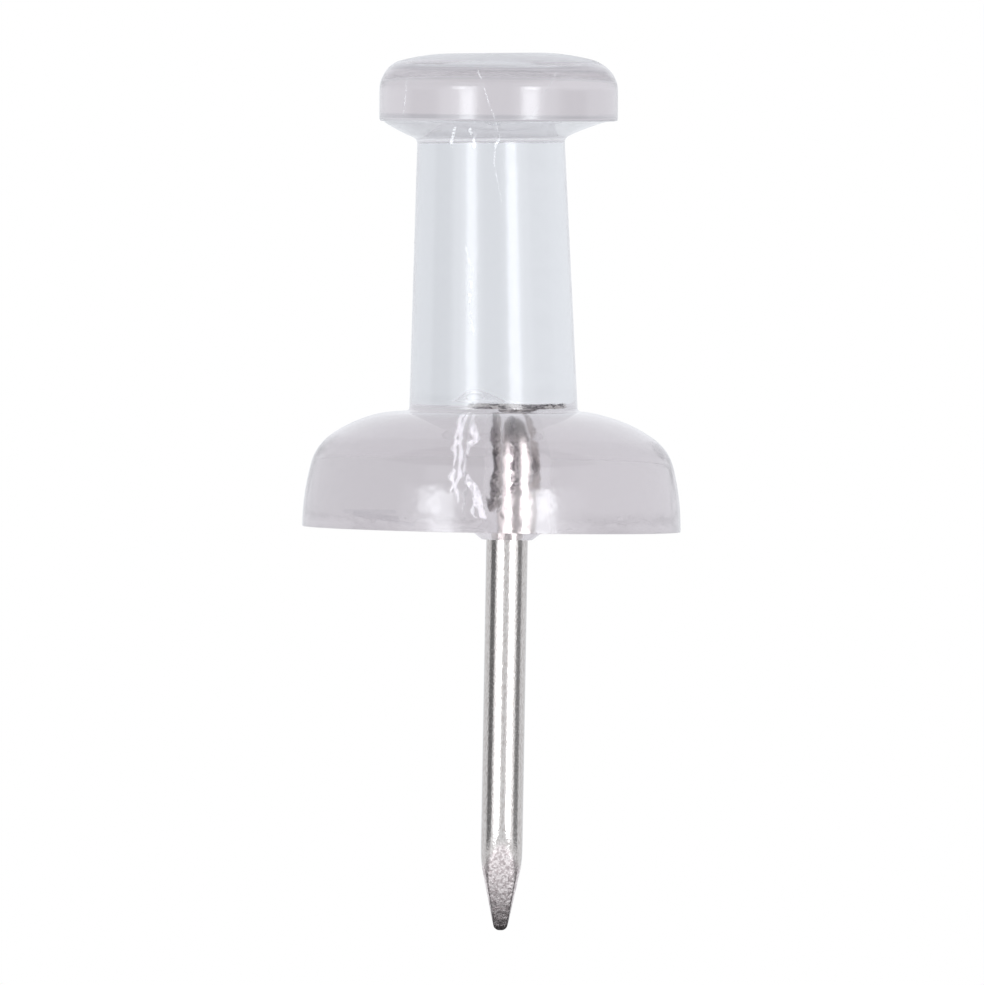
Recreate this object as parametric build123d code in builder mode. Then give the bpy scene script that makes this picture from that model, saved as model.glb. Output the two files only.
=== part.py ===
"""Push pin: a clear moulded head with a steel needle moulded into it.

Millimetres. The origin is the centre of the head's flat underside, which seats on
the board. +Z runs up the head's axis to the cap, and the needle points down -Z.
"""
import os

from build123d import *

# Base flange of the head
base_diameter = 10.0
base_height = 3.11
base_dome_height = 1.44
base_side_lean = 0.21
base_shoulder_inset = 0.74
base_shoulder_drop = 0.67
base_edge_radius = 0.1

# Barrel, the tapered waist that finger and thumb hold
barrel_height = 7.22
barrel_foot_diameter = 4.45
barrel_neck_diameter = 3.89
barrel_foot_fillet = 0.1
barrel_neck_fillet = 0.2

# Cap, pushed with the thumb
flare_height = 0.46
cap_diameter = 6.3
cap_ledge = 0.18
cap_side_height = 0.81
cap_lower_edge_radius = 0.08
cap_edge_radius = 0.84
cap_crown_radius = 5.5
cap_crown_turn = 15.0
dish_land = 0.12
dish_depth = 0.12
gate_diameter = 0.4
gate_height = 0.06

# Needle, drawn wire with a ground point and an upset head
wire_diameter = 1.1
needle_reach = 10.6
side_flat_length = 1.83
face_flat_length = 2.38
tip_width = 0.34
tip_edge_radius = 0.1

# Moulded-in end of the needle
needle_offset = 0.42
anchor_depth = 3.12
anchor_head_overhang = 0.32
anchor_head_thickness = 0.18
anchor_edge_chamfer = 0.05
grip_waist = 0.012
entry_height = 0.28
entry_land = 0.1
entry_slope = 0.36

# Air film left all around the needle as the plastic cools
film_gap = 0.02

base_radius = base_diameter / 2
foot_radius = barrel_foot_diameter / 2
neck_radius = barrel_neck_diameter / 2
cap_radius = cap_diameter / 2
wire_radius = wire_diameter / 2
tip_half = tip_width / 2
anchor_head_radius = wire_radius + anchor_head_overhang
bore_radius = wire_radius + film_gap
side_top = (base_radius - base_side_lean, base_height - base_dome_height)
shoulder_top = (base_radius - base_shoulder_inset, base_height - base_shoulder_drop)
neck_level = base_height + barrel_height
cap_foot_level = neck_level + flare_height
needle_axis = Axis((needle_offset, 0, 0), (0, 0, 1))
needle_section = Plane(origin=(needle_offset, 0, 0), x_dir=(1, 0, 0), z_dir=(0, -1, 0))


def waisted_shank(growth):
    """Outline of the moulded-in wire, drawn in a little where dies gripped it, grown outwards by growth."""
    crest = wire_radius + growth
    middle = (crest - grip_waist, (anchor_depth - entry_height) / 2)
    ThreePointArc((crest, -entry_height), middle, (crest, anchor_depth))


# Head: one moulding, turned from a single section
with BuildPart() as head:
    with BuildSketch(Plane.XZ) as head_section:
        with BuildLine() as head_outline:
            base_side = TangentArc((base_radius, 0), side_top, tangent=(0, 1))
            shoulder = TangentArc(base_side @ 1, shoulder_top, tangent=base_side % 1)
            dome = TangentArc(shoulder @ 1, (foot_radius, base_height), tangent=shoulder % 1)
            barrel = Line(dome @ 1, (neck_radius, neck_level))
            flare = Line(barrel @ 1, (cap_radius - cap_ledge, cap_foot_level))
            ledge = Line(flare @ 1, (cap_radius, cap_foot_level))
            cap_side = Line(ledge @ 1, (cap_radius, cap_foot_level + cap_side_height))
            cap_edge = JernArc(cap_side @ 1, (0, 1), cap_edge_radius, 90 - cap_crown_turn)
            crown = JernArc(cap_edge @ 1, cap_edge % 1, cap_crown_radius, cap_crown_turn)
            land = Line(crown @ 1, (crown @ 1) - (dish_land, 0))
            dish = TangentArc((0, (land @ 1).Y - dish_depth), land @ 1, tangent=(1, 0))
            Polyline(dish @ 0, (0, 0), base_side @ 0)
        make_face()
        for corner, radius in (
            (base_side @ 0, base_edge_radius),
            (dome @ 1, barrel_foot_fillet),
            (barrel @ 1, barrel_neck_fillet),
            (ledge @ 1, cap_lower_edge_radius),
        ):
            fillet(head_section.vertices().sort_by_distance(corner)[0], radius)
    revolve(axis=Axis.Z)

    # Vestige of the moulding gate, in the middle of the cap's dish
    dish_level = (dish @ 0).Y
    with BuildSketch(Plane.XY.offset(dish_level - gate_height)) as gate:
        Circle(gate_diameter / 2)
    extrude(amount=2 * gate_height)

    # Low cone of plastic drawn down around the needle where it leaves the base
    with BuildSketch(needle_section) as entry_section:
        entry_tip_radius = bore_radius + entry_land
        Polygon(
            (0, 0),
            (entry_tip_radius + entry_slope, 0),
            (entry_tip_radius, -entry_height),
            (0, -entry_height),
            align=None,
        )
    revolve(axis=needle_axis)

    # Pocket around the needle's upset head
    with BuildSketch(Plane.XY.offset(anchor_depth - film_gap)) as pocket:
        with Locations((needle_offset, 0)):
            Circle(anchor_head_radius + film_gap)
    extrude(amount=anchor_head_thickness + 2 * film_gap, mode=Mode.SUBTRACT)

    # Bore that follows the waisted wire from the entry up to the pocket
    with BuildSketch(needle_section) as bore_section:
        with BuildLine() as bore_outline:
            waisted_shank(film_gap)
            Polyline(
                (bore_radius, anchor_depth),
                (0, anchor_depth),
                (0, -entry_height),
                (bore_radius, -entry_height),
            )
        make_face()
    revolve(axis=needle_axis, mode=Mode.SUBTRACT)

# Needle: plain wire below, the waisted stretch and the upset head inside the plastic
with BuildPart() as needle:
    with BuildSketch(needle_section) as needle_profile:
        with BuildLine() as needle_outline:
            waisted_shank(0)
            Polyline(
                (wire_radius, anchor_depth),
                (anchor_head_radius, anchor_depth),
                (anchor_head_radius, anchor_depth + anchor_head_thickness),
                (0, anchor_depth + anchor_head_thickness),
                (0, -needle_reach),
                (wire_radius, -needle_reach),
                (wire_radius, -entry_height),
            )
        make_face()
        for level in (anchor_depth, anchor_depth + anchor_head_thickness):
            corner = needle_profile.vertices().sort_by_distance((anchor_head_radius, level))[0]
            chamfer(corner, min(anchor_edge_chamfer, 0.4 * anchor_head_thickness))
    revolve(axis=needle_axis)

    # Four ground flats, the two on the front and back longer than the two at the sides
    for angle, flat_length in (
        (0, side_flat_length),
        (90, face_flat_length),
        (180, side_flat_length),
        (270, face_flat_length),
    ):
        outwards = Vector(1, 0, 0).rotate(Axis.Z, angle)
        tip_edge = Vector(needle_offset, 0, -needle_reach) + outwards * tip_half
        slope = outwards * flat_length - Vector(0, 0, wire_radius - tip_half)
        split(bisect_by=Plane(origin=tip_edge, z_dir=slope), keep=Keep.BOTTOM)
    tip_edges = needle.faces().sort_by(Axis.Z)[0].edges()
    fillet(tip_edges, min(tip_edge_radius, 0.4 * tip_width))

os.makedirs("parts", exist_ok=True)
head.part.label = "clear head"
needle.part.label = "steel needle"
export_step(head.part, "parts/head.step")
export_step(needle.part, "parts/needle.step")
print("head", round(head.part.volume, 2), "mm3, needle", round(needle.part.volume, 2), "mm3")
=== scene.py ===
# %% [markdown]
# # A clear push pin
# A push pin is two pieces: a clear plastic head, and a steel needle that was laid in
# the mould before the plastic was shot around it. Clear plastic hides nothing, so the
# inside of the head has to be as right as its outside: light bends at every wall, also
# at the thin film of air around the needle. Both pieces are therefore worked out here
# as smooth, dense surfaces that follow the packed solids ring by ring.

# %% The packed frame
import math

import bpy
import numpy as np
from mathutils import Matrix, Vector


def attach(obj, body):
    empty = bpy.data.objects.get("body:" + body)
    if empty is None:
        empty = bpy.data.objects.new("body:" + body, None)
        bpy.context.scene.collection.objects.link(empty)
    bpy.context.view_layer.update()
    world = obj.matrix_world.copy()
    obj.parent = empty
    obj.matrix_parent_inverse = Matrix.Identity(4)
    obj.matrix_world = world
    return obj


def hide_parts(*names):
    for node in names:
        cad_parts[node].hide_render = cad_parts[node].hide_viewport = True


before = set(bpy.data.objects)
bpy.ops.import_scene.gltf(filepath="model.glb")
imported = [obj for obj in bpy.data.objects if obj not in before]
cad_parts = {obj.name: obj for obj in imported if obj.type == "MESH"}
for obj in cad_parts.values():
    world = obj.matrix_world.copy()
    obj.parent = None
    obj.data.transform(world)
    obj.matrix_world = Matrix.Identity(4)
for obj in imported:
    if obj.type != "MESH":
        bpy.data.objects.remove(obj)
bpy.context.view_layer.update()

print("nodes in the frame:", sorted(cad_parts))

# %% [markdown]
# The sizes are the ones that the solids were built from, in millimetres. They could be
# read off the imported meshes, but a named size says what it is for. The height 0 is the
# seat, where the base rests on a board: the head stands above it, the needle below.

# %% Sizes in millimetres
MM = 0.001
base_radius, base_height, base_dome, base_edge = 4.998, 3.11, 1.44, 0.01
side_lean, shoulder_inset, shoulder_drop = 0.21, 0.74, 0.67
foot_radius, neck_radius, barrel_height = 2.225, 1.945, 7.22
foot_fillet, neck_fillet = 0.1, 0.2
flare_height, cap_radius, cap_ledge, cap_side, cap_lower_edge = 0.46, 3.15, 0.18, 0.81, 0.08
cap_edge, cap_crown, crown_turn = 0.84, 5.5, math.radians(15)
dish_land, dish_depth, gate_radius, gate_height = 0.12, 0.12, 0.2, 0.06
wire_radius, needle_reach = 0.55, 10.6
side_flat, face_flat, tip_half, tip_edge = 1.83, 2.38, 0.155, 0.12
needle_offset, anchor_depth, anchor_overhang, anchor_thickness = 0.42, 3.12, 0.32, 0.18
anchor_chamfer, grip_waist = 0.05, 0.012
entry_height, entry_land, entry_slope, film = 0.28, 0.1, 0.36, 0.02

neck_level = base_height + barrel_height
cap_foot = neck_level + flare_height
mouth_radius = wire_radius + film
anchor_radius = wire_radius + anchor_overhang
anchor_top = anchor_depth + anchor_thickness
print("neck at", round(neck_level, 2), "mm, cap foot at", round(cap_foot, 2), "mm")

# %% [markdown]
# A turned piece is a profile carried round an axis. The profile is drawn with four
# pens: a straight run, an arc of a set radius, an arc that has to reach a set point,
# and a rounded corner between two of them. Each gives an array of (radius, height)
# points. A spline could draw the same line, but arcs keep the moulder's real radii.

# %% Pens for runs and arcs
def run(start, end, count):
    """Straight run: start plus an even share of the way to end."""
    share = np.linspace(0, 1, count)[:, None]
    return np.array(start) + share * (np.array(end) - np.array(start))


def sweep(start, heading, radius, turn, count):
    """Arc of a set radius: leaves start along the heading and turns left by turn."""
    centre = np.array(start) + radius * np.array([-math.sin(heading), math.cos(heading)])
    angle = heading + turn * np.linspace(0, 1, count)
    return centre + radius * np.stack([np.sin(angle), -np.cos(angle)], axis=1)


def bend(start, heading, end, count):
    """Arc to a set point: its turn is twice the angle from the heading to the chord,
    its radius the chord over twice the sine of half that turn. Also gives the last heading."""
    chord = np.array(end) - np.array(start)
    turn = 2 * (math.atan2(chord[1], chord[0]) - heading)
    radius = np.hypot(*chord) / (2 * math.sin(turn / 2))
    return sweep(start, heading, radius, turn, count), heading + turn


print("a quarter turn of radius 1 from (1, 0) ends at",
      np.round(sweep((1, 0), math.pi / 2, 1, math.pi / 2, 5)[-1], 6).tolist())

# %% A pen for rounded corners
def soften(before, after, radius, count):
    """Rounded corner: a circle that touches both lines, at radius over the tangent of half
    the corner's angle from the corner. Points nearer to the corner than that are dropped."""
    corner = before[-1]
    back = (before[-2] - corner) / np.linalg.norm(before[-2] - corner)
    forth = (after[1] - corner) / np.linalg.norm(after[1] - corner)
    half = math.acos(np.clip(back @ forth, -1, 1)) / 2
    reach = radius / math.tan(half)
    centre = corner + (back + forth) / np.linalg.norm(back + forth) * radius / math.sin(half)
    first, last = corner + back * reach - centre, corner + forth * reach - centre
    share, opening = np.linspace(0, 1, count)[:, None], math.pi - 2 * half
    arc = (np.sin((1 - share) * opening) * first + np.sin(share * opening) * last) / math.sin(opening)
    clear_of_corner = 1.05 * reach
    before = before[np.linalg.norm(before - corner, axis=1) > clear_of_corner]
    after = after[np.linalg.norm(after - corner, axis=1) > clear_of_corner]
    return np.concatenate([before, centre + arc]), after


square = soften(run((0, 0), (1, 0), 5), run((1, 0), (1, 1), 5), 0.2, 3)
print("a square corner at (1, 0), rounded by 0.2, now passes", np.round(square[0][-2], 3).tolist())

# %% [markdown]
# The head's outside runs from the base's lower edge up its side, over the shoulder and
# the dome, up the barrel, out along the flare and a narrow ledge, and over the cap into
# its shallow dish, where the moulding gate left a small round mark. A stack of cylinders
# and cones would be quicker, but the light in clear plastic shows every false edge.

# %% The dish in the cap
seat_strip, middle_share = 0.6, 0.02


def dish_profile(rim, level, count):
    """Shallow bowl: a sphere's cap from the rim down to the middle, where the gate mark rises
    by a smooth step around its radius."""
    ball = (rim ** 2 + dish_depth ** 2) / (2 * dish_depth)
    radius = rim * np.linspace(1, middle_share, count)
    height = level - dish_depth + ball - np.sqrt(ball ** 2 - radius ** 2)
    edge = np.clip((1.15 * gate_radius - radius) / (0.3 * gate_radius), 0, 1)
    return np.stack([radius, height + gate_height * edge * edge * (3 - 2 * edge)], axis=1)


print("a dish 2 mm in radius, from rim to middle:", np.round(dish_profile(2, 0, 5)[:, 1], 3).tolist())

# %% The head's outside profile
def outside_profile():
    """All outside points from the base's lower edge to the middle of the dish."""
    upwards = math.pi / 2
    seat = run((base_radius - seat_strip, 0), (base_radius, 0), 8)
    side, heading = bend(seat[-1], upwards, (base_radius - side_lean, base_height - base_dome), 26)
    top_of_shoulder = (base_radius - shoulder_inset, base_height - shoulder_drop)
    shoulder, heading = bend(side[-1], heading, top_of_shoulder, 22)
    dome, heading = bend(shoulder[-1], heading, (foot_radius, base_height), 34)
    barrel = run(dome[-1], (neck_radius, neck_level), 46)
    flare = run(barrel[-1], (cap_radius - cap_ledge, cap_foot), 10)
    ledge = run(flare[-1], (cap_radius, cap_foot), 5)
    wall = run(ledge[-1], (cap_radius, cap_foot + cap_side), 9)
    edge = sweep(wall[-1], upwards, cap_edge, upwards - crown_turn, 26)
    crown = sweep(edge[-1], math.pi - crown_turn, cap_crown, crown_turn, 18)
    land = run(crown[-1], crown[-1] - (dish_land, 0), 4)
    dish = dish_profile(land[-1][0], land[-1][1], 24)
    seat, side = soften(seat, side, base_edge, 9)
    dome, barrel = soften(dome, barrel, foot_fillet, 9)
    barrel, flare = soften(barrel, flare, neck_fillet, 10)
    ledge, wall = soften(ledge, wall, cap_lower_edge, 8)
    base = (seat, side, shoulder[1:], dome[1:])
    cap = (ledge[1:], wall, edge[1:], crown[1:], land[1:], dish[1:])
    return np.concatenate([*base, barrel, flare, *cap])


outside = outside_profile()
cap_top = outside[:, 1].max()
print("outside profile:", len(outside), "points, top at", round(cap_top, 3), "mm")

# %% [markdown]
# A moulding never leaves its tool quite true. On this pin the barrel and the cap lean
# to the left by a degree and a half, and the cap sits a tenth of a millimetre to the
# right of the flare, where the two halves of the tool met. Every ring of the profile
# is tipped and shifted by that much. It is done with formulas on the rings and not by
# turning the object, because the base and the needle stay upright.

# %% Rings around an axis
AROUND = 192
turn = np.linspace(0, 2 * np.pi, AROUND, endpoint=False)


def ease(value, low, high):
    """Smooth step from 0 at low to 1 at high: three times the square less twice the cube."""
    share = np.clip((value - low) / (high - low), 0, 1)
    return share * share * (3 - 2 * share)


def rings(radius, height, centre):
    """Rings: a centre on the X axis plus radius times (cosine, sine) of the turn, at each height."""
    radius = np.broadcast_to(radius, (len(radius), AROUND))
    height = np.broadcast_to(height, (len(radius), AROUND))
    x = np.reshape(centre, (-1, 1)) + radius * np.cos(turn)
    return np.stack([x, radius * np.sin(turn), height], axis=-1)


upright = rings(outside[:, :1], outside[:, 1:], np.zeros(len(outside)))
print("outside rings:", upright.shape[0], "of", AROUND, "points")

# %% The moulding's slight lean
lean_angle, cap_shift, cap_step = math.radians(1.5), 0.105, 0.02
dome_reach, dome_level, full_lean_level = 3.2, 2.6, 3.7
height_loss = 0.0035


def leaning(grid):
    """Tip each ring about the barrel's foot by the lean angle, half of it gained over the dome and half
    over the barrel's foot, shift the cap's rings sideways, and keep the top at its height."""
    x, y, z = grid[..., 0], grid[..., 1], grid[..., 2]
    over_dome = ease(np.hypot(x, y), dome_reach, foot_radius) * ease(z, dome_level, base_height)
    angle = lean_angle * (0.5 * over_dome + 0.5 * ease(z, base_height, full_lean_level))
    rise = (z - base_height) * (1 - height_loss * ease(z, base_height, cap_top))
    shift = cap_shift * ease(z, cap_foot - cap_step, cap_foot + cap_step)
    tipped_x = x * np.cos(angle) - rise * np.sin(angle) + shift
    tipped_z = base_height + rise * np.cos(angle) + x * np.sin(angle)
    return np.stack([tipped_x, y, tipped_z], axis=-1)


shell = leaning(upright)
print("leaning head: highest point at", round(float(shell[..., 2].max()), 3), "mm")

# %% [markdown]
# Plastic shrinks as it cools and comes away from the steel, but not everywhere. Where
# it came away, light is turned back by a film of air, which hides the wire's two edges.
# Where it still touches, the wire shows at its full width. On this pin the plastic
# touches low on the left and in a narrow strip on the right, with ragged borders. The
# gap is a smooth film with those zones pressed shut, and the borders come from a ripple
# of slanted waves with a whole number of waves around the wire, so it has no seam.
# Painting the zones on the wire would not do: the light has to meet a real gap.

# %% A ripple and a waist for the wire
def ripple(height, wavelength, count, seed):
    """Random ripple of about unit size: a sum of slanted cosine waves with random phases and lengths
    from 0.7 to 1.6 times the wavelength, over the square root of half their number."""
    draw = np.random.default_rng(seed)
    slant = draw.uniform(0, 2 * np.pi, count)
    pace = 2 * np.pi / (wavelength * draw.uniform(0.7, 1.6, count))
    around, along = np.round(pace * np.cos(slant) * wire_radius), pace * np.sin(slant)
    phase = draw.uniform(0, 2 * np.pi, count)
    waves = np.cos(np.reshape(height, (-1, 1, 1)) * along + turn[:, None] * around + phase)
    return waves.sum(axis=2) / math.sqrt(count / 2)


def waist(height):
    """How far the moulded-in wire is drawn in: a parabola, none at the entry and under the flat head."""
    place = (height + entry_height) / (anchor_depth + entry_height)
    return grip_waist * 4 * place * (1 - place)


bore_height = np.linspace(anchor_depth - film, -entry_height, 130)
ragged, uneven = ripple(bore_height, 0.16, 60, 4), ripple(bore_height, 0.9, 30, 3)
print("ripples: spread", round(float(ragged.std()), 2), "fine and", round(float(uneven.std()), 2), "coarse")

# %% The bore around the needle
def between(height, bottom, top):
    """1 between two heights, as a column: a smooth step over the bottom pair times one over the top pair."""
    return (ease(height, *bottom) * ease(height, *top))[:, None]


# Turns are in degrees: 180 is the wire's left, 270 its front. Heights are in millimetres. The left
# zone's first border moves towards the front over a stretch of the height.
left_start, left_slant, slant_from, slant_rise, border_blur = 208, 32, 0.55, 0.7, 8
left_end, left_bottom, left_top = (248, 236), (0.25, 0.5), (2.3, 1.9)
strip_start, strip_end, strip_bottom, strip_top = (296, 304), (324, 314), (0.6, 0.9), (2.6, 2.2)
strip_share, ragged_share, touch_limits, press, uneven_share = 0.75, 0.1, (0.4, 0.55), 1.5, 0.1
degrees = np.degrees(turn)
border = left_start + left_slant * np.clip(bore_height - slant_from, 0, slant_rise)[:, None]
low_left = ease(degrees, border - border_blur, border + border_blur) * ease(degrees, *left_end)
low_left = low_left * between(bore_height, left_bottom, left_top)
right_strip = strip_share * ease(degrees, *strip_start) * ease(degrees, *strip_end)
right_strip = right_strip * between(bore_height, strip_bottom, strip_top)
touch = low_left + right_strip + ragged_share * ragged
gap = film * (1 - press * ease(touch, *touch_limits) + uneven_share * uneven)
print("bore: plastic touches the wire over", round(100 * float((gap < 0).mean())), "percent")

# %% [markdown]
# The inside of the head starts in the middle of the roof over the needle's flat head.
# The surface runs out to the flat head's rim, which the plastic grips without a film,
# back under it, down the bore, out of the low cone at the needle's entry and along the
# seat to the base's edge, where it meets the outside rings. A boolean cut would leave
# thin, uneven triangles there, and these would show as creases in the plastic.

# %% The pocket for the needle's flat head
pole_radius, rim_bite, pocket_lip = 0.03, 0.07, 0.03


def pocket_rings():
    """Roof and floor of the pocket a film away from the needle's flat head, with a wall inside its rim."""
    grip = anchor_radius - rim_bite
    line = np.concatenate([
        run((pole_radius, anchor_top + film), (grip, anchor_top + film), 14),
        run((grip, anchor_top + film), (grip, anchor_depth - film), 5)[1:],
        run((grip, anchor_depth - film), (mouth_radius + pocket_lip, anchor_depth - film), 6)[1:],
    ])
    return rings(line[:, :1], line[:, 1:], np.full(len(line), needle_offset))


pocket = pocket_rings()
print("pocket rings:", len(pocket), "bitten by the needle's rim over", rim_bite, "mm")

# %% The needle's entry, and all inside rings
land_start, land_edge, seat_fillet, seat_margin = 0.01, 0.04, 0.15, 0.1


def entry_rings():
    """The low cone around the needle: its narrow land, its slope, and the seat out to the base's edge,
    with a centre that eases from the needle's axis to the head's."""
    tip = mouth_radius + entry_land
    land = run((mouth_radius + land_start, -entry_height), (tip, -entry_height), 5)
    slope = run((tip, -entry_height), (tip + entry_slope, 0), 8)
    seat = run((tip + entry_slope, 0), (outside[0, 0] - seat_margin, 0), 22)
    land, slope = soften(land, slope, land_edge, 6)
    slope, seat = soften(slope, seat, seat_fillet, 7)
    line = np.concatenate([land, slope, seat])
    centre = needle_offset * ease(line[:, 0], outside[0, 0], tip + entry_slope + seat_margin)
    return rings(line[:, :1], line[:, 1:], centre)


bore_radius = wire_radius - waist(bore_height)[:, None] + gap
bore = rings(bore_radius, bore_height[:, None], np.full(len(bore_height), needle_offset))
inner = np.concatenate([pocket, bore, entry_rings()])
print("inside rings:", len(inner), "of which", len(pocket) + len(bore), "are in the plastic")

# %% [markdown]
# As the thick base cooled last, it also pulled a few long thin voids open beside the
# needle, and a bubble of air stayed on top of the flat head. A void is a closed
# spindle: an oval carried along a slightly wavy line, thin at both ends. The bubble is a
# bell with a flat foot. Their rings run downwards, so that their faces look into the
# void. Each carries a number for how crazed and white its skin is. Grey patches in
# the finish would be simpler, but only a real void bends the light around it.

# %% Shapes of voids
spindle_power, void_swell, void_wander, bubble_lean = 0.6, 0.2, 0.025, 0.12


def void_rings(low, high, width, depth, seed):
    """Spindle between two points: half widths times a power of a sine, so both ends close,
    with a centre line and a width that wander by a few waves."""
    draw = np.random.default_rng(seed)
    share = np.linspace(0.995, 0.005, 60)[:, None]
    swell = np.sin(np.pi * share) ** spindle_power
    swell = swell * (1 + void_swell * np.sin(share * draw.uniform(18, 30) + draw.uniform(0, 6)))
    wander = void_wander * np.sin(share * draw.uniform(8, 13) + draw.uniform(0, 6))
    around = np.linspace(0, 2 * np.pi, 28, endpoint=False)
    line = np.array(low) + share * (np.array(high) - np.array(low))
    x = line[:, :1] + wander + width * swell * np.cos(around)
    y = line[:, 1:2] + depth * swell * np.sin(around)
    z = np.broadcast_to(line[:, 2:], x.shape)
    return np.stack([x, y, z], axis=-1)


def bubble_rings(foot, width, depth, rise):
    """Bell: half widths grow evenly from the top, the height falls as a raised cosine,
    and the top stands a little to the left of the foot."""
    share = np.linspace(0.03, 1, 40)[:, None]
    around = np.linspace(0, 2 * np.pi, 64, endpoint=False)
    drop = (1 + np.cos(np.pi * share)) / 2
    x = foot[0] - bubble_lean * drop + width * share * np.cos(around)
    y = foot[1] + depth * share * np.sin(around)
    return np.stack([x, y, np.broadcast_to(foot[2] + rise * drop, x.shape)], axis=-1)


bubble = bubble_rings((-0.22, -0.25, anchor_top + film + 0.01), 0.66, 0.34, 0.33)
bubble_foot, bubble_top = bubble[..., 2].min(), bubble[..., 2].max()
print("bubble: from", round(float(bubble_foot), 2), "to", round(float(bubble_top), 2), "mm")

# %% Voids inside the head
# Each row: low end, high end, half width, half depth, seed, and how crazed the skin is.
void_table = (
    ((-0.50, -0.45, 0.30), (-0.49, -0.40, 2.30), 0.022, 0.06, 1, 0.5),
    ((-0.62, -0.50, 0.50), (-0.58, -0.45, 1.50), 0.034, 0.05, 2, 0.9),
    ((-0.71, -0.50, 0.70), (-0.69, -0.50, 1.20), 0.045, 0.05, 3, 0.8),
    ((-0.10, -0.72, 0.18), (-0.45, -0.55, 1.10), 0.1, 0.04, 5, 0.7),
    ((-0.30, -0.60, 0.22), (-0.36, -0.55, 0.75), 0.03, 0.04, 6, 0.8),
)
voids = [(bubble, 0.0)]
for low, high, width, depth, seed, crazed in void_table:
    voids.append((void_rings(low, high, width, depth, seed), crazed))
print("voids:", len(voids), "with", [grid.shape[0] * grid.shape[1] for grid, crazed in voids], "points")

# %% [markdown]
# A ring stack becomes a mesh with quads between neighbouring rings and a fan to one
# pole point at each end, so it is closed. Blender's own screw modifier turns a profile
# too, but it can't follow a radius that changes around the ring. The volume, summed as
# tetrahedra from the origin, tells whether the faces look outwards: it has to be
# positive and close to the packed solid's volume.

# %% From rings to faces
def skin(grid, first_vertex):
    """Points and faces of one closed ring stack: quads between rings, a fan at either end."""
    count, around = grid.shape[:2]
    row, step = np.meshgrid(np.arange(count - 1), np.arange(around), indexing="ij")
    after = (step + 1) % around
    quads = np.stack([row * around + step, row * around + after,
                      (row + 1) * around + after, (row + 1) * around + step], axis=-1).reshape(-1, 4)
    step = np.arange(around)
    after, last = (step + 1) % around, (count - 1) * around
    fans = np.concatenate([
        np.stack([np.full(around, count * around), after, step], axis=1),
        np.stack([np.full(around, count * around + 1), last + step, last + after], axis=1),
    ])
    points = np.concatenate([grid.reshape(-1, 3), grid[:1].mean(axis=1), grid[-1:].mean(axis=1)])
    return points, quads + first_vertex, fans + first_vertex


def spread(value, grid):
    """One number for each point of a ring stack, from one number or one per ring, and for its two poles."""
    value = np.broadcast_to(value, grid.shape[:2])
    return np.concatenate([value.ravel(), value[:1].mean(axis=1), value[-1:].mean(axis=1)])


print("the bubble's points, quads and fan triangles:", [len(part) for part in skin(bubble, 0)])

# %% From faces to a piece
def make_piece(name, grids, marks):
    """One smooth mesh object from ring stacks, filled with foreach_set. Each mark is a point attribute
    for the finish to read, with a value for every stack."""
    skins, total = [], 0
    for grid in grids:
        skins.append(skin(grid, total))
        total += len(skins[-1][0])
    points, quads, fans = (np.concatenate(part) for part in zip(*skins))
    mesh = bpy.data.meshes.new(name)
    mesh.vertices.add(len(points))
    mesh.vertices.foreach_set("co", (points * MM).astype(np.float32).ravel())
    corners = np.concatenate([quads.ravel(), fans.ravel()]).astype(np.int32)
    sizes = np.concatenate([np.full(len(quads), 4), np.full(len(fans), 3)]).astype(np.int32)
    mesh.loops.add(len(corners))
    mesh.loops.foreach_set("vertex_index", corners)
    mesh.polygons.add(len(sizes))
    mesh.polygons.foreach_set("loop_start", np.concatenate([[0], np.cumsum(sizes)[:-1]]).astype(np.int32))
    mesh.polygons.foreach_set("use_smooth", np.ones(len(sizes), bool))
    mesh.update(calc_edges=True)
    mesh.validate()
    for mark, values in marks.items():
        numbers = np.concatenate([spread(value, grid) for value, grid in zip(values, grids)])
        mesh.attributes.new(mark, "FLOAT", "POINT").data.foreach_set("value", numbers.astype(np.float32))
    piece = bpy.data.objects.new(name, mesh)
    bpy.context.scene.collection.objects.link(piece)
    corner = points[np.concatenate([quads[:, :3], quads[:, [0, 2, 3]], fans])]
    volume = np.einsum("ij,ij->i", corner[:, 0], np.cross(corner[:, 1], corner[:, 2])).sum() / 6
    print(name, len(corner), "triangles,", round(float(volume), 2), "mm3")
    return piece


# The mark "inside" is 1 on walls that light meets only from within: the pocket, the bore and the voids.
head_grids = [np.concatenate([inner, shell])] + [grid for grid, crazed in voids]
hidden = np.zeros((len(head_grids[0]), 1))
hidden[:len(pocket) + len(bore)] = 1
head = make_piece("head_clear", head_grids, {
    "crazed": [0.0] + [crazed for grid, crazed in voids],
    "inside": [hidden] + [1.0 for grid, crazed in voids],
})

# %% [markdown]
# The needle is a second stack of rings. Its point is the wire ground on four sides, so
# a ring's radius is about the least of the wire and the distance to each flat along
# that turn. Four cutting planes would give sharp flats, but flats that are ground by
# hand pressure come out a little convex and run into the wire without a sharp border,
# which a soft minimum gives. Every point also carries a number: 1 where the grinding
# wheel took steel away, 0 where the drawn wire is left.

# %% The ground point
point_end = face_flat + 0.25
flat_bulge, flat_share, soft_power, least_share = 0.95, 0.45, 24, 1e-3
tip_start, plate_skin, ground_skin = 0.12, 0.012, 0.04


def soft_least(*values):
    """Soft minimum: the minus 24th root of the sum of minus 24th powers."""
    return sum(value ** -float(soft_power) for value in values) ** (-1 / soft_power)


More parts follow.
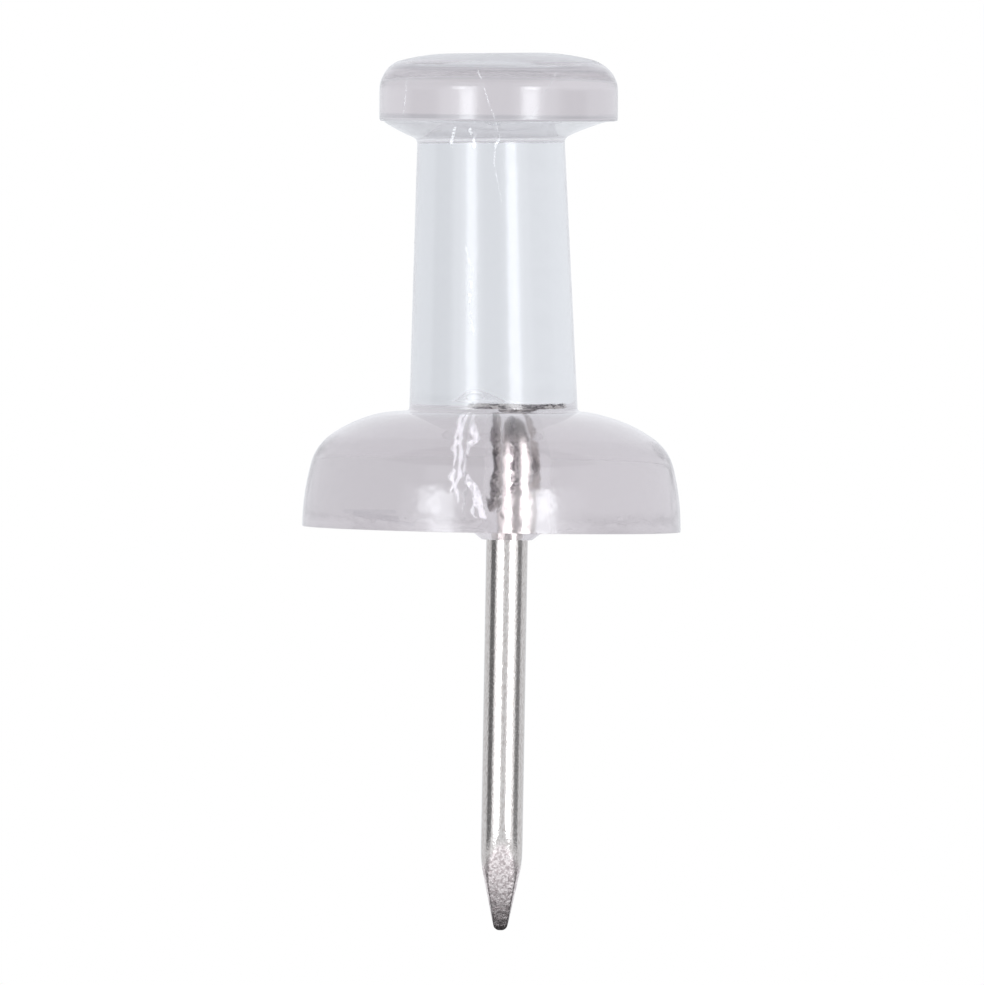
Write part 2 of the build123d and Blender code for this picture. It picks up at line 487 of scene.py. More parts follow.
def point_rings():
    """Rings from the round tip up to the plain wire. Radius: a mean of four flats and of the cone that they
    approach, each the soft minimum of its parts and the wire."""
    up = np.concatenate([
        tip_edge * (1 - np.cos(np.linspace(tip_start, np.pi / 2, 14))),
        np.linspace(tip_edge, point_end, 120)[1:],
    ])[:, None]
    drop = np.clip(tip_edge - up, 0, tip_edge)
    pull_in = tip_edge - np.sqrt(tip_edge ** 2 - drop ** 2)
    side = tip_half + (wire_radius - tip_half) * (up / side_flat) ** flat_bulge - pull_in
    face = tip_half + (wire_radius - tip_half) * (up / face_flat) ** flat_bulge - pull_in
    cone = side * np.cos(turn) ** 2 + face * np.sin(turn) ** 2
    side = side / np.maximum(np.abs(np.cos(turn)), least_share)
    face = face / np.maximum(np.abs(np.sin(turn)), least_share)
    radius = flat_share * soft_least(side, face, wire_radius)
    radius = radius + (1 - flat_share) * soft_least(cone, wire_radius)
    ground = ease(radius, wire_radius - plate_skin, wire_radius - ground_skin)
    return rings(radius, up - needle_reach, np.full(len(up), needle_offset)), ground


point, ground = point_rings()
print("ground points:", int((ground > 0.5).sum()), "of", ground.size)

# %% [markdown]
# The needle's upper end was upset in a press: squeezed into a flat head, so that the
# plastic can hold it. Metal that is squeezed spreads unevenly. A turned disc would be
# perfectly round, so the rim gets three sine waves of different counts around it.

# %% The flat head and the whole needle
# Each row: height of the wave in millimetres, number of waves around the rim, and phase.
rim_waves = ((0.012, 3, 1), (0.01, 7, 0), (0.006, 13, 2))
rim_start, rim_inset, rim_swing = 0.01, 0.02, 20


def head_rings():
    """The needle's flat head: underside, chamfered rim and top. Towards the rim its height changes by a
    sum of sine waves, and its radius is set in by a little more where the wave is high."""
    rim = np.array([
        (wire_radius + rim_start, anchor_depth), (anchor_radius - anchor_chamfer, anchor_depth),
        (anchor_radius, anchor_depth + anchor_chamfer), (anchor_radius, anchor_top - anchor_chamfer),
        (anchor_radius - anchor_chamfer, anchor_top), (pole_radius, anchor_top),
    ])
    line = np.concatenate([run(a, b, 6)[:-1] for a, b in zip(rim[:-1], rim[1:])] + [rim[-1:]])
    wave = sum(height * np.sin(count * turn + phase) for height, count, phase in rim_waves)
    outer = ease(line[:, :1], wire_radius, anchor_radius)
    radius = line[:, :1] - rim_inset * outer * (1 + rim_swing * wave)
    return rings(radius, line[:, 1:] + outer * wave, np.full(len(line), needle_offset))


def wire_rings(radius, height):
    """Rings of the plain or waisted wire."""
    return rings(radius, height, np.full(len(height), needle_offset))


shank_height = np.linspace(point_end - needle_reach, -entry_height, 80)[1:, None]
grip_height = np.linspace(-entry_height, anchor_depth, 60)[1:, None]
shank = wire_rings(np.full_like(shank_height, wire_radius), shank_height)
grip = wire_rings(wire_radius - waist(grip_height), grip_height)
needle_grid = np.concatenate([point, shank, grip, head_rings()])
ground = np.concatenate([ground, np.zeros((len(needle_grid) - len(ground), AROUND))])
needle = make_piece("needle_steel", [needle_grid], {"ground": [ground]})

# %% [markdown]
# Finishes are node materials. Written out in full, every node takes four or five lines,
# and the idea gets lost in them. A tree could also be drawn in the node editor and
# loaded from a file, but then the script would not stand alone. So a small class holds
# a tree and makes each kind of node in one call, from sockets and plain values alike.

# %% A node tree in short words
class Tree:
    """A node tree, emptied first, with one call for each kind of node that the studio needs."""

    def __init__(self, tree):
        self.nodes, self.links = tree.nodes, tree.links
        self.nodes.clear()

    def add(self, kind, values=None, **settings):
        """A node with its settings, and with each listed input linked to a socket or set to a value."""
        node = self.nodes.new("ShaderNode" + kind)
        for name, setting in settings.items():
            setattr(node, name, setting)
        for name, value in (values or {}).items():
            socket = node.inputs[name]
            if isinstance(value, bpy.types.NodeSocket):
                self.links.new(value, socket)
            else:
                socket.default_value = (*value, 1) if socket.type == "RGBA" else value
        return node

    def maths(self, operation, *values):
        """One maths node."""
        return self.add("Math", dict(enumerate(values)), operation=operation).outputs[0]

    def times(self, first, *others):
        """Product of all values."""
        for other in others:
            first = self.maths("MULTIPLY", first, other)
        return first

    def less(self, value):
        """1 less the value."""
        return self.maths("SUBTRACT", 1.0, value)

    def vector(self, operation, *values):
        """One vector maths node: its number where the operation measures, else its vector."""
        measures = operation in ("DOT_PRODUCT", "DISTANCE", "LENGTH")
        node = self.add("VectorMath", dict(enumerate(values)), operation=operation)
        return node.outputs["Value" if measures else "Vector"]

    def step(self, value, low, high):
        """Smooth step from 0 at low to 1 at high."""
        values = {"Value": value, "From Min": low, "From Max": high}
        return self.add("MapRange", values, interpolation_type="SMOOTHSTEP").outputs["Result"]

    def axes(self, place):
        """The three axes of a place or direction."""
        return self.add("SeparateXYZ", {0: place}).outputs

    def shaders(self, share, first, second):
        """Mix of two shaders, by their nodes."""
        return self.add("MixShader", {0: share, 1: first.outputs[0], 2: second.outputs[0]})


print("nodes of the studio:", sorted(name for name in vars(Tree) if not name.startswith("_")))

# %% [markdown]
# A finish on a piece also needs textures, bumps and the numbers that the mesh carries.
# Textures are laid out by the place on the piece, in the piece's own coordinates, and not
# by an unwrapped map: a turned piece has no natural seam, and the pattern keeps its real
# size in millimetres. All lengths here are therefore given in millimetres too.

# %% Nodes for a finish
class Finish(Tree):
    """A node tree for a finish, with lengths in millimetres."""

    def rise(self, length, limits_mm):
        """Smooth step of a length, from 0 at the first to 1 at the second of two limits in millimetres."""
        return self.step(length, limits_mm[0] * MM, limits_mm[1] * MM)

    def near(self, length, middle_mm, limits_mm):
        """Smooth step of the distance between a length and a middle, with limits as for rise."""
        return self.rise(self.maths("ABSOLUTE", self.maths("SUBTRACT", length, middle_mm * MM)), limits_mm)

    def noise(self, place, size_mm, detail, output="Fac"):
        """Noise whose blotches are about size_mm across."""
        values = {"Vector": place, "Scale": 1 / (size_mm * MM), "Detail": detail}
        return self.add("TexNoise", values).outputs[output]

    def mix(self, share, first, second):
        """Mix of two colours: all of the first at share 0, all of the second at 1."""
        values = {"Factor": share, "A": first, "B": second}
        return self.add("Mix", values, data_type="RGBA").outputs["Result"]

    def bump(self, height, depth_mm, normal=None):
        """Bump of a height between 0 and 1 that stands for depth_mm, on top of another bump if given."""
        values = {"Height": height, "Distance": depth_mm * MM}
        if normal is not None:
            values["Normal"] = normal
        return self.add("Bump", values).outputs["Normal"]

    def mark(self, name):
        """The number that a point attribute of the piece carries."""
        return self.add("Attribute", attribute_name=name).outputs["Fac"]


def new_finish(name):
    """A material, its node tree in short words, and the place on the piece that each point has."""
    material = bpy.data.materials.new(name)
    material.use_nodes = True
    tree = Finish(material.node_tree)
    return material, tree, tree.add("TexCoord").outputs["Object"]


print("nodes of a finish:", sorted(name for name in vars(Finish) if not name.startswith("_")))

# %% [markdown]
# A pin that lies in a box with others gets scratched. Low on the base's left there are
# also dark streaks of painted shade. Both could be painted into an image, but a line
# that is worked out from its two ends stays sharp from near by and needs no image.
# The ends are (x, z) in millimetres, as seen from the front.

# %% Thin lines on the plastic
def hairline(tree, place, start, end, width_mm):
    """Mask of a thin line: 1 within width_mm of it, falling to 0 at twice that. The nearest point of the
    line lies at the share of it that is the dot product with the line over its length squared, clamped."""
    along = np.array([end[0] - start[0], 0, end[1] - start[1]])
    flat = tree.vector("MULTIPLY", place, (1 / MM, 0, 1 / MM))
    away = tree.vector("SUBTRACT", flat, (start[0], 0, start[1]))
    share = tree.vector("DOT_PRODUCT", away, tuple(along / (along @ along)))
    share = tree.maths("MINIMUM", tree.maths("MAXIMUM", share, 0.0), 1.0)
    distance = tree.vector("DISTANCE", away, tree.vector("MULTIPLY", share, tuple(along)))
    return tree.step(distance, 2 * width_mm, width_mm)


# Each row: start, end, half width in millimetres, and strength.
scratches = (
    ((-0.51, 12.14), (0.10, 10.41), 0.012, 0.3), ((0.10, 10.41), (-0.03, 10.22), 0.02, 0.5),
    ((-0.03, 10.22), (-0.05, 9.72), 0.012, 0.35), ((-0.05, 9.72), (0.16, 8.72), 0.01, 0.25),
    ((1.55, 12.15), (0.83, 10.76), 0.01, 0.2), ((-2.36, 11.95), (-2.49, 10.63), 0.01, 0.25),
    ((-1.09, 10.62), (-1.19, 10.12), 0.026, 0.8), ((-0.69, 10.60), (-0.56, 10.15), 0.026, 0.8),
    ((-0.74, 7.50), (-0.56, 6.70), 0.018, 0.25), ((-0.54, 7.00), (-0.64, 6.00), 0.02, 0.3),
    ((-0.62, 5.90), (-0.52, 5.20), 0.012, 0.3),
)
# Painted shade: dark streaks low on the base's left.
painted_streak_lines = (
    ((-3.85, 0.47), (-2.55, 0.50), 0.035, 0.45), ((-3.55, 0.42), (-2.50, 0.30), 0.055, 0.6),
    ((-2.55, 0.24), (-2.05, 0.18), 0.03, 0.5),
)
print("thin lines:", len(scratches), "scratches and", len(painted_streak_lines), "knit lines")

# %% [markdown]
# The head is clear polystyrene. It is not quite colourless: the thick base and cap look
# a warm grey, the barrel a cool white. Absorption by depth alone would tint the base's
# middle more than its rim, while the real one is about even. So most of the grey is
# taken on where light enters and leaves, zone by zone. Bands of painted shade on the
# cap's top edge, its lower corner and the flare, and painted dark streaks low on the
# base, are a darker grey. Walls that light meets only from within take none.

# %% The plastic's tint
base_grey, barrel_white, cap_grey = (0.805, 0.755, 0.775), (0.955, 0.965, 0.985), (0.86, 0.81, 0.83)
# The second and third colours are painted shade: the bands on the cap and flare, and the streaks low on the
# base.
cap_top_white, painted_shade_grey, painted_streak_grey = (0.96, 0.97, 0.99), (0.60, 0.575, 0.60), (0.60, 0.565, 0.60)
clear = (1, 1, 1)
base_to_barrel, barrel_to_cap, edge_to_top = (3.0, 3.25), (10.7, 11.0), (12.2, 12.4)
painted_shade_core = 0.3
# Bands of painted shade, where the cap's top edge, its lower corner and the flare look dark.
# Each row: middle and half width in height, in millimetres, and strength.
painted_shade_rings = ((12.17, 0.13, 1.0), (10.865, 0.11, 0.65), (10.40, 0.08, 0.45))


def plastic_tint(tree, place, height, front, on_cap_top):
    """Tint: the zones' colours with smooth steps between them, mixed towards grey by the bands of painted
    shade and the painted dark streaks, and none on the inside walls."""
    tint = tree.mix(tree.rise(height, base_to_barrel), base_grey, barrel_white)
    tint = tree.mix(tree.rise(height, barrel_to_cap), tint, cap_grey)
    tint = tree.mix(on_cap_top, tint, cap_top_white)
    # Bands of painted shade on the cap and the flare.
    for middle, half, strength in painted_shade_rings:
        painted_shade = tree.near(height, middle, (half, painted_shade_core * half))
        tint = tree.mix(tree.times(painted_shade, strength), tint, painted_shade_grey)
    # Painted dark streaks low on the base.
    for start, end, width, strength in painted_streak_lines:
        painted_streak = tree.times(hairline(tree, place, start, end, width), front)
        tint = tree.mix(tree.times(painted_streak, strength), tint, painted_streak_grey)
    return tree.mix(tree.mark("inside"), tint, clear)


print("tint: base", base_grey, "barrel", barrel_white, "cap", cap_grey)

# %% [markdown]
# A moulded surface is never as flat as glass. A long swell and fine flow marks run over
# the whole head up to the cap's edge. The thick base, which shrinks most, also has sinks,
# streaks along its foot, and a fine peel. All of them are a few thousandths of a
# millimetre deep, too fine for the mesh, so they are bumps, each with its own size, depth
# and reach. The base's own three keep off its left and right sides, where a bump that is
# seen at a grazing angle would crackle.

# %% The plastic's waves
even_stretch, lying_stretch, side_limits = (1, 1, 1), (0.3, 0.3, 1.5), (4.2, 3.2)
# Each row, in millimetres: size, depth, height where it has faded out, height where it is full, then
# the stretch of the place, and whether it is the base's own. Swell, flow marks, sinks, streaks, peel.
wave_layers = (
    (0.9, 0.006, 12.1, 11.6, even_stretch, False),
    (0.25, 0.0012, 12.1, 11.6, even_stretch, False),
    (0.45, 0.007, 2.4, 1.4, even_stretch, True),
    (0.5, 0.004, 1.0, 0.5, lying_stretch, True),
    (0.3, 0.006, 1.7, 1.1, even_stretch, True),
)


def plastic_waves(tree, place, x, height):
    """Bent normal: bumps on top of each other, each a noise times a smooth step of the height, and the
    base's own times a smooth step of the sideways distance."""
    off_sides = tree.rise(tree.maths("ABSOLUTE", x), side_limits)
    waves = None
    for size, depth, gone, full, stretch, on_base in wave_layers:
        wave = tree.noise(tree.vector("MULTIPLY", place, stretch), size, 1.0)
        mask = tree.rise(height, (gone, full))
        wave = tree.times(wave, mask, off_sides) if on_base else tree.times(wave, mask)
        waves = tree.bump(wave, depth, waves)
    return waves


print("waves:", len(wave_layers), "layers, the deepest", max(layer[1] for layer in wave_layers), "mm")

# %% [markdown]
# Broken plastic scatters light and looks white: in scratches, along the parting line at
# the neck, where the mould's halves met, and on the skin of the crazed voids. A second,
# white shader is mixed in there. Roughness alone would only blur what is behind. The
# scratches are shaken by a noise and broken into dashes, since no real one is straight.

# %% White flaws in the plastic
shake_size, shake_reach, dash_size, dash_limits = 0.5, 0.1, 0.15, (0.3, 0.6)
parting_level, parting_limits, parting_strength = neck_level - 0.04, (0.035, 0.01), 0.18
craze_size, craze_stretch, craze_strength, craze_limits = 0.08, (1, 1, 0.3), 0.6, (0.75, 0.95)


def white_flaws(tree, place, x, height, front):
    """Share of white: the most of the scratches, the parting line, which leans with the barrel, and
    the crazed skins, where a standing noise plus the mark passes a threshold."""
    shake = tree.noise(place, shake_size, 2.0, "Color")
    shaken = tree.vector("MULTIPLY_ADD", shake, (shake_reach * MM,) * 3, place)
    lines = 0.0
    for start, end, width, strength in scratches:
        line = hairline(tree, shaken, start, end, width)
        lines = tree.maths("MAXIMUM", tree.times(line, strength), lines)
    dashes = tree.step(tree.noise(place, dash_size, 2.0), *dash_limits)
    lines = tree.times(lines, front, dashes)
    level = tree.maths("MULTIPLY_ADD", x, -math.tan(lean_angle), height)
    parting = tree.near(level, parting_level, parting_limits)
    lines = tree.maths("MAXIMUM", lines, tree.times(parting, parting_strength))
    standing = tree.noise(tree.vector("MULTIPLY", place, craze_stretch), craze_size, 2.0)
    crazed = tree.maths("ADD", standing, tree.times(tree.mark("crazed"), craze_strength))
    return tree.maths("MAXIMUM", lines, tree.step(crazed, *craze_limits))


print("parting line at", round(parting_level, 2), "mm")

# %% [markdown]
# Now the plastic is put together: a shader with full transmission at polystyrene's
# index, the tint, the waves, a slightly dulled cap top, the white flaws mixed in, and a
# light absorption on the way through. A glass shader would do as well, but this one
# keeps its numbers when the model is exported.

# %% The clear plastic
polystyrene_index, gloss, dulled, front_limits = 1.59, 0.08, 0.25, (0.0, -0.5)
flaw_white, absorbed, density = (0.95, 0.96, 0.97), (0.3, 0.2, 0.25), 10


def clear_plastic():
    """Clear plastic: a transmitting shader with tint, waves and roughness, mixed with white by the flaws,
    and absorption in its volume."""
    material, tree, place = new_finish("clear_plastic")
    x, y, height = tree.axes(place)
    front = tree.rise(y, front_limits)
    on_cap_top = tree.rise(height, edge_to_top)
    plastic = tree.add("BsdfPrincipled", {
        "Base Color": plastic_tint(tree, place, height, front, on_cap_top),
        "Roughness": tree.maths("MULTIPLY_ADD", on_cap_top, dulled, gloss),
        "Normal": plastic_waves(tree, place, x, height),
        "Transmission Weight": 1.0,
        "IOR": polystyrene_index,
    })
    white = tree.add("BsdfDiffuse", {"Color": flaw_white})
    surface = tree.shaders(white_flaws(tree, place, x, height, front), plastic, white)
    absorb = tree.add("VolumeAbsorption", {"Color": absorbed, "Density": density})
    tree.add("OutputMaterial", {"Surface": surface.outputs[0], "Volume": absorb.outputs[0]})
    return material


head.data.materials.append(clear_plastic())
print("clear plastic:", len(head.data.materials[0].node_tree.nodes), "nodes")

# %% [markdown]
# The needle is drawn steel wire with a thin bright plate. Inside the plastic its left and
# right sides, as seen from the front, are painted dark: painted shade with a grainy, ragged
# border, and a few dark specks of grain along its middle. On the flat head it is taken off
# in bits. It is a mask on the wire: sideways distance from the axis with a ragged border
# from a noise. Painting it by hand would look freer, but a formula gives the same result
# on every run.

# %% Painted shade and grain on the moulded-in wire
residue_and_shade_border, residue_and_shade_shift, narrowing, raggedness = (0.505, 0.545), 0.025, 0.075, 0.3
entry_limits, middle_limits, flat_head_limits = (0.6, 0.95), (0.13, 0.06), (2.9, 3.0)
border_size, speck_size, speck_limits = 0.06, 0.055, (0.45, 0.51)
bare_size, bare_stretch, bare_limits = 0.3, (1, 1, 2), (0.47, 0.53)


def wire_residue_and_shade(tree, place, x, height):
    """Share of painted shade and grain: 1 where the sideways distance plus a noise passes the border,
    which narrows with height, or in specks along the middle, both above a slanted line low on the
    wire. On the flat head, bare bits are taken off."""
    sideways = tree.maths("SUBTRACT", x, needle_offset * MM)
    from_middle = tree.maths("ABSOLUTE", tree.maths("ADD", sideways, residue_and_shade_shift * MM))
    wider = tree.maths("MULTIPLY_ADD", height, narrowing, from_middle)
    ragged = tree.maths("MULTIPLY_ADD", tree.noise(place, border_size, 2.0), raggedness * MM, wider)
    level = tree.maths("MULTIPLY_ADD", sideways, -1.0, height)
    inside = tree.rise(level, entry_limits)
    sides = tree.times(tree.rise(ragged, residue_and_shade_border), inside)
    middle = tree.rise(from_middle, middle_limits)
    specks = tree.times(middle, tree.step(tree.noise(place, speck_size, 2.0), *speck_limits), inside)
    bits = tree.noise(tree.vector("MULTIPLY", place, bare_stretch), bare_size, 2.0)
    bare = tree.times(tree.step(bits, *bare_limits), tree.rise(height, flat_head_limits))
    return tree.times(tree.maths("MAXIMUM", sides, specks), tree.less(bare))


print("residue: beyond", residue_and_shade_border[0], "mm from the wire's axis, less a ragged", raggedness, "mm")

# %% [markdown]
# The plate is a warm grey metal with short streaks along the wire and fine pits. On the
# point the wheel ground the plate off: it is rougher, scuffed and blotchy. The number
# that every point of the mesh carries tells the two apart, so the border between them
# follows the shape. Two materials with a border along faces would show a jagged line.

# %% The plated steel
dark_plate, light_plate = (0.52, 0.485, 0.465), (0.63, 0.60, 0.58)
dark_stone, light_stone = (0.43, 0.375, 0.375), (0.73, 0.675, 0.665)
# The dark coat's colours and roughness: painted shade on the wire's sides.
dark_shade_crust, light_shade_crust = (0.07, 0.06, 0.065), (0.48, 0.44, 0.45)
plate_roughness, ground_roughness, shade_crust_roughness = 0.1, 0.25, 0.3
pit_size, pit_depth, scuff_size, scuff_depth = 0.05, 0.0035, 0.15, 0.012
streak_size, streak_stretch, streak_limits = 0.04, (1, 1, 0.35), (0.35, 0.6)
wear_size, wear_limits, grain_size, grain_limits = 0.07, (0.38, 0.64), 0.045, (0.42, 0.62)


def plated_steel():
    """Plated steel: metal whose colour and roughness change from plate to ground steel by the mark, and to
    a dark coat of painted shade and grain by the mask, each mottled by a noise, with pits all over and
    scuffs on the point."""
    material, tree, place = new_finish("plated_steel")
    x, y, height = tree.axes(place)
    # Painted shade on the wire's left and right sides, with grain.
    residue_and_shade = wire_residue_and_shade(tree, place, x, height)
    ground_share = tree.mark("ground")
    streaks = tree.noise(tree.vector("MULTIPLY", place, streak_stretch), streak_size, 2.0)
    plate = tree.mix(tree.step(streaks, *streak_limits), dark_plate, light_plate)
    worn = tree.step(tree.noise(place, wear_size, 3.0), *wear_limits)
    stone = tree.mix(worn, dark_stone, light_stone)
    grains = tree.step(tree.noise(place, grain_size, 1.0), *grain_limits)
    shade_crust = tree.mix(grains, dark_shade_crust, light_shade_crust)
    rough = tree.maths("MULTIPLY_ADD", ground_share, ground_roughness, plate_roughness)
    pits = tree.bump(tree.noise(place, pit_size, 2.0), pit_depth)
    scuffs = tree.times(tree.noise(place, scuff_size, 3.0), ground_share)
    steel = tree.add("BsdfPrincipled", {
        "Base Color": tree.mix(residue_and_shade, tree.mix(ground_share, plate, stone), shade_crust),
        "Metallic": 1.0,
        "Roughness": tree.maths("MULTIPLY_ADD", residue_and_shade, shade_crust_roughness, rough),
        "Normal": tree.bump(scuffs, scuff_depth, pits),
    })
    tree.add("OutputMaterial", {"Surface": steel.outputs[0]})
    return material


needle.data.materials.append(plated_steel())
print("plated steel:", len(needle.data.materials[0].node_tree.nodes), "nodes")

# %% [markdown]
# A push pin has no moving part: the needle is moulded in. So both pieces ride on the one
# body of the frame, each stands in for the solid of its own name, and each tells which
# finish it has.

# %% Riding on the frame
for piece, node, finish in ((head, "head", "clear_plastic"), (needle, "needle", "plated_steel")):
    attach(piece, "root")
    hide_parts(node)
    print(piece.name, "stands in for", node, "with", finish)

# %% [markdown]
# The studio is a tent of white cloth with two soft lamps in front and dark cards at the
# sides, which draw the pin's bright and dark edges. Lamps and cards could be objects, but
# through clear plastic they would be seen from every side. Here they are panels on the
# sky: windows of azimuth and elevation, with soft edges. The sky also asks what a ray has
# done: one that only passed through plastic sees the plain tent, a reflection on the
# outside sees lamps and cards, steel in the plastic sees the lamps once its light has
# passed the film of air, and the camera sees white.

# %% Panels of the studio
# Each row, in degrees: left, right, soft edge, low, high, soft edge, and what it adds to the tent.
# Azimuth 0 is the front and grows to the right, elevation 0 is level.
lamp_panels = (
    (-38, -23, 4, -26, 17, 2, 3.3),
    (-46, -20, 5, -28, 18, 3, 1.0),
    (-58, -14, 6, -30, 18, 4, 0.7),
    (-46, -33, 4, 6, 16, 3, 3.0),
    (23, 39, 4, -26, 17, 2, 3.3),
    (20, 46, 5, -28, 18, 3, 1.0),
    (14, 58, 6, -30, 18, 4, 0.7),
    (27, 40, 4, 6, 16, 3, 3.0),
    (-45, -17, 4, 22, 31, 2, 0.6),
    (14, 45, 4, 22, 31, 2, 0.6),
    (-80, 80, 8, 33, 80, 2, -0.55),
)
# For reflections on the outside: dark cards at the sides, small lights for the cap, two pale ones behind.
card_panels = (
    (-96, -63, 7, -12, 3, 2.5, -0.78),
    (65, 94, 7, -12, 3, 2.5, -0.66),
    (-34, -24, 3, -7, 0.5, 1.5, 1.8),
    (26, 36, 3, -7, 0.5, 1.5, 1.8),
    (-190, -145, 8, 8, 70, 3, 0.12),
    (145, 190, 8, 8, 70, 3, 0.12),
)
# For the steel inside the head, past the film of air.
wire_panels = (
    (-75, -12, 6, -35, 20, 4, 0.9),
    (12, 60, 6, -35, 20, 4, 0.7),
    (-45, -17, 5, 16, 27, 3, 1.6),
    (18, 42, 5, 16, 33, 2, 2.2),
)
# For reflections inside the dome, and for light that comes straight through.
dome_panels = ((75, 190, 10, 16, 45, 5, -0.09), (-190, -75, 10, 16, 45, 5, -0.05))
back_panels = ((-165, -100, 10, -40, -4, 2, 0.07), (95, 165, 10, -2, 40, 1.5, 0.035))


def panels(tree, azimuth, elevation, listed):
    """Sum of the listed panels: each is a window of azimuth times one of elevation times its strength,
    and a window is a smooth step up at one edge less a smooth step up at the other."""
    def window(value, low, high, soft):
        opens = tree.step(value, low - soft, low + soft)
        return tree.maths("SUBTRACT", opens, tree.step(value, high - soft, high + soft))

    total = 0.0
    for left, right, soft, low, high, fade, strength in listed:
        panel = tree.times(window(azimuth, left, right, soft), window(elevation, low, high, fade))
        total = tree.maths("MULTIPLY_ADD", panel, strength, total)
    return total


print("panels:", len(lamp_panels + card_panels + wire_panels + dome_panels + back_panels))

# %% The studio's light
tent_colour, see_through = (0.92, 0.945, 0.98), 0.80
inner_bonus, flaw_bonus = 0.1, 1.0
# By way of the film, light crosses four walls of plastic to the wire and back. Where steel touches, two.
film_walls = (2.5, 3.5)


def studio_world():
    """The tent: see_through for light that came through plastic and 1 for outside reflections, plus each
    list of panels times the share of the rays that it is for, and plain white to the camera."""
    world = bpy.data.worlds.new("studio")
    bpy.context.scene.world = world
    world.use_nodes = True
    tree = Tree(world.node_tree)
    x, y, z = tree.axes(tree.add("TexCoord").outputs["Generated"])
    degree = 180 / math.pi
    azimuth = tree.times(tree.maths("ARCTAN2", x, tree.times(y, -1.0)), degree)
    elevation = tree.times(tree.maths("ARCSINE", z), degree)
    path = tree.add("LightPath").outputs
    bounces = tree.maths("ADD", path["Glossy Depth"], path["Diffuse Depth"])
    reflected = tree.maths("MINIMUM", bounces, 1.0)
    through = tree.maths("MINIMUM", path["Transmission Depth"], 1.0)
    scattered = tree.maths("MINIMUM", path["Diffuse Depth"], 1.0)
    past_film = tree.step(path["Transmission Depth"], *film_walls)
    inside = tree.times(reflected, through)
    outside_only = tree.maths("SUBTRACT", reflected, inside)
    lit_inside = tree.maths("MAXIMUM", past_film, scattered)
    # Each row: what is added, and the share of the rays that it is added for.
    layers = (
        (inner_bonus, inside),
        (flaw_bonus, tree.times(inside, scattered)),
        (1 - see_through, outside_only),
        (lamp_panels, tree.maths("MULTIPLY_ADD", inside, lit_inside, outside_only)),
        (card_panels, outside_only),
        (wire_panels, tree.times(inside, past_film)),
        (dome_panels, inside),
        (back_panels, tree.less(reflected)),
    )
    level = see_through
    for light, share in layers:
        if isinstance(light, tuple):
            light = panels(tree, azimuth, elevation, light)
        level = tree.maths("MULTIPLY_ADD", share, light, level)
    tent = tree.add("Background", {"Color": tent_colour, "Strength": level})
    white = tree.add("Background", {"Color": (1, 1, 1)})
    studio = tree.shaders(path["Is Camera Ray"], tent, white)
    tree.add("OutputWorld", {"Surface": studio.outputs[0]})
    return world


print("studio:", len(studio_world().node_tree.nodes), "nodes")

# %% [markdown]
# The pin stands on a plain pale floor. A real floor would carry shadows and dim the clear
# head, so it glows by itself: white to the camera, the tent's colour to everything else.
# To reflections on the bare steel it has a painted shadow: dark in a band under the pin
# and brighter in front of it and behind, which shapes the light on the ground point, whose flats look down.

# %% The floor
floor_radius, floor_drop, floor_corners = 0.03, 0.00002, 96
shadow_band_limits, glow_limits = (0.5, 6.0), (13, 18)
shadow_band_dark, shadow_band_gain, least_glow = -0.95, 1.65, 0.02


def floor_finish():
    """Glow: 1, or see_through for light through plastic, plus for outside reflections a painted shadow
    that runs from dark to bright with the distance in front or behind, and ends away from the pin."""
    material, tree, place = new_finish("pale_floor")
    x, y, z = tree.axes(place)
    path = tree.add("LightPath").outputs
    reflected = tree.maths("MINIMUM", path["Glossy Depth"], 1.0)
    through = tree.maths("MINIMUM", path["Transmission Depth"], 1.0)
    # A painted shadow of the pin, seen only in reflections.
    off_shadow_band = tree.rise(tree.maths("ABSOLUTE", y), shadow_band_limits)
    close_by = tree.less(tree.rise(tree.vector("LENGTH", place), glow_limits))
    change = tree.maths("MULTIPLY_ADD", off_shadow_band, shadow_band_gain, shadow_band_dark)
    change = tree.times(change, close_by, reflected, tree.less(through))
    level = tree.maths("MULTIPLY_ADD", through, see_through - 1, 1.0)
    level = tree.maths("MAXIMUM", tree.maths("ADD", change, level), least_glow)
    glow = tree.add("Emission", {"Color": tent_colour, "Strength": level})
    surface = tree.shaders(path["Is Camera Ray"], glow, tree.add("Emission"))
    tree.add("OutputMaterial", {"Surface": surface.outputs[0]})
    return material


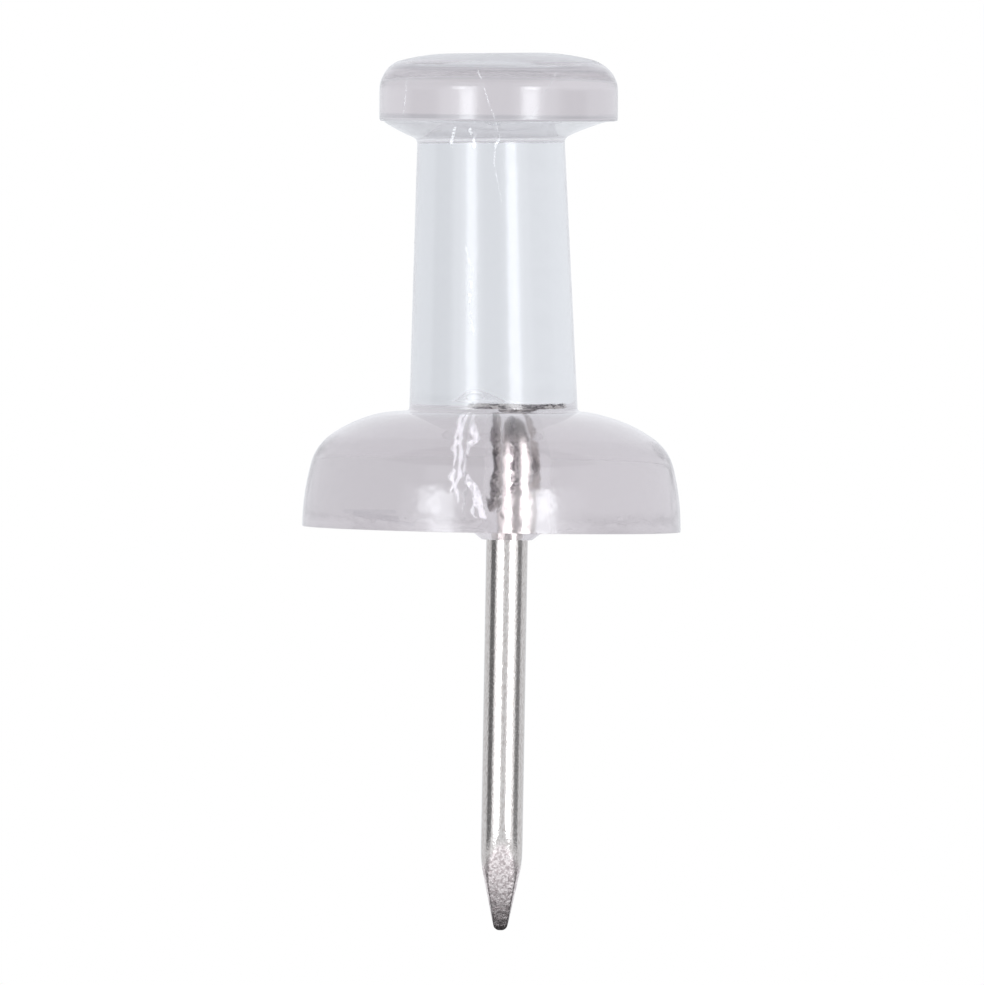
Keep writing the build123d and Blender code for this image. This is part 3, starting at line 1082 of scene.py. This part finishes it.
def pale_floor():
    """A flat disc just under the needle's tip: corners at even turns."""
    angle = np.linspace(0, 2 * np.pi, floor_corners, endpoint=False)
    level = np.full(floor_corners, -needle_reach * MM - floor_drop)
    corners = np.stack([floor_radius * np.cos(angle), floor_radius * np.sin(angle), level], axis=1)
    mesh = bpy.data.meshes.new("floor")
    mesh.from_pydata(corners.tolist(), [], [list(range(floor_corners))])
    mesh.materials.append(floor_finish())
    floor = bpy.data.objects.new("floor", mesh)
    bpy.context.scene.collection.objects.link(floor)
    return floor


pale_floor()
print("floor: a disc of radius", round(floor_radius / MM), "mm under the tip")

# %% [markdown]
# The camera stands far off with a long lens, a little above the middle of the pin, as a
# product photographer would place it: so the base's rim shows as a thin ellipse and nothing
# is distorted. It leans by a degree about its own axis. Light has to cross many walls
# in clear plastic, so the number of bounces goes up, and the plain view transform keeps
# white as white.

# %% The camera
sensor_width, picture_width = 36, 0.02598
camera_distance, camera_lift, aim_height, camera_lean = 0.6, 0.0135, 0.00096, math.radians(1.0)
clip_near, clip_far, clear_bounces = 0.01, 10, 64


def look(distance, lift, aim, lean):
    """A camera in front: its lens is the sensor's width times the distance over the width that it shows,
    its axes are side, up and backwards, leaned about the last."""
    camera = bpy.data.cameras.new("camera")
    camera.sensor_fit = "HORIZONTAL"
    camera.sensor_width = sensor_width
    camera.lens = sensor_width * distance / picture_width
    camera.clip_start, camera.clip_end = clip_near, clip_far
    holder = bpy.data.objects.new("camera", camera)
    bpy.context.scene.collection.objects.link(holder)
    eye = Vector((0, -distance, lift))
    forward = (Vector(aim) - eye).normalized()
    side = forward.cross(Vector((0, 0, 1))).normalized()
    axes = Matrix((side, side.cross(forward), -forward)).transposed()
    leaned = axes @ Matrix.Rotation(lean, 3, "Z")
    holder.matrix_world = Matrix.Translation(eye) @ leaned.to_4x4()
    bpy.context.scene.camera = holder
    return holder


camera = look(camera_distance, camera_lift, (0, 0, aim_height), camera_lean)
scene = bpy.context.scene
scene.view_settings.view_transform = "Standard"
scene.cycles.max_bounces = clear_bounces
scene.cycles.transmission_bounces = clear_bounces
scene.cycles.glossy_bounces = clear_bounces
print("camera: lens of", round(camera.data.lens), "mm,", round(camera_distance, 2), "m away")

# %% [markdown]
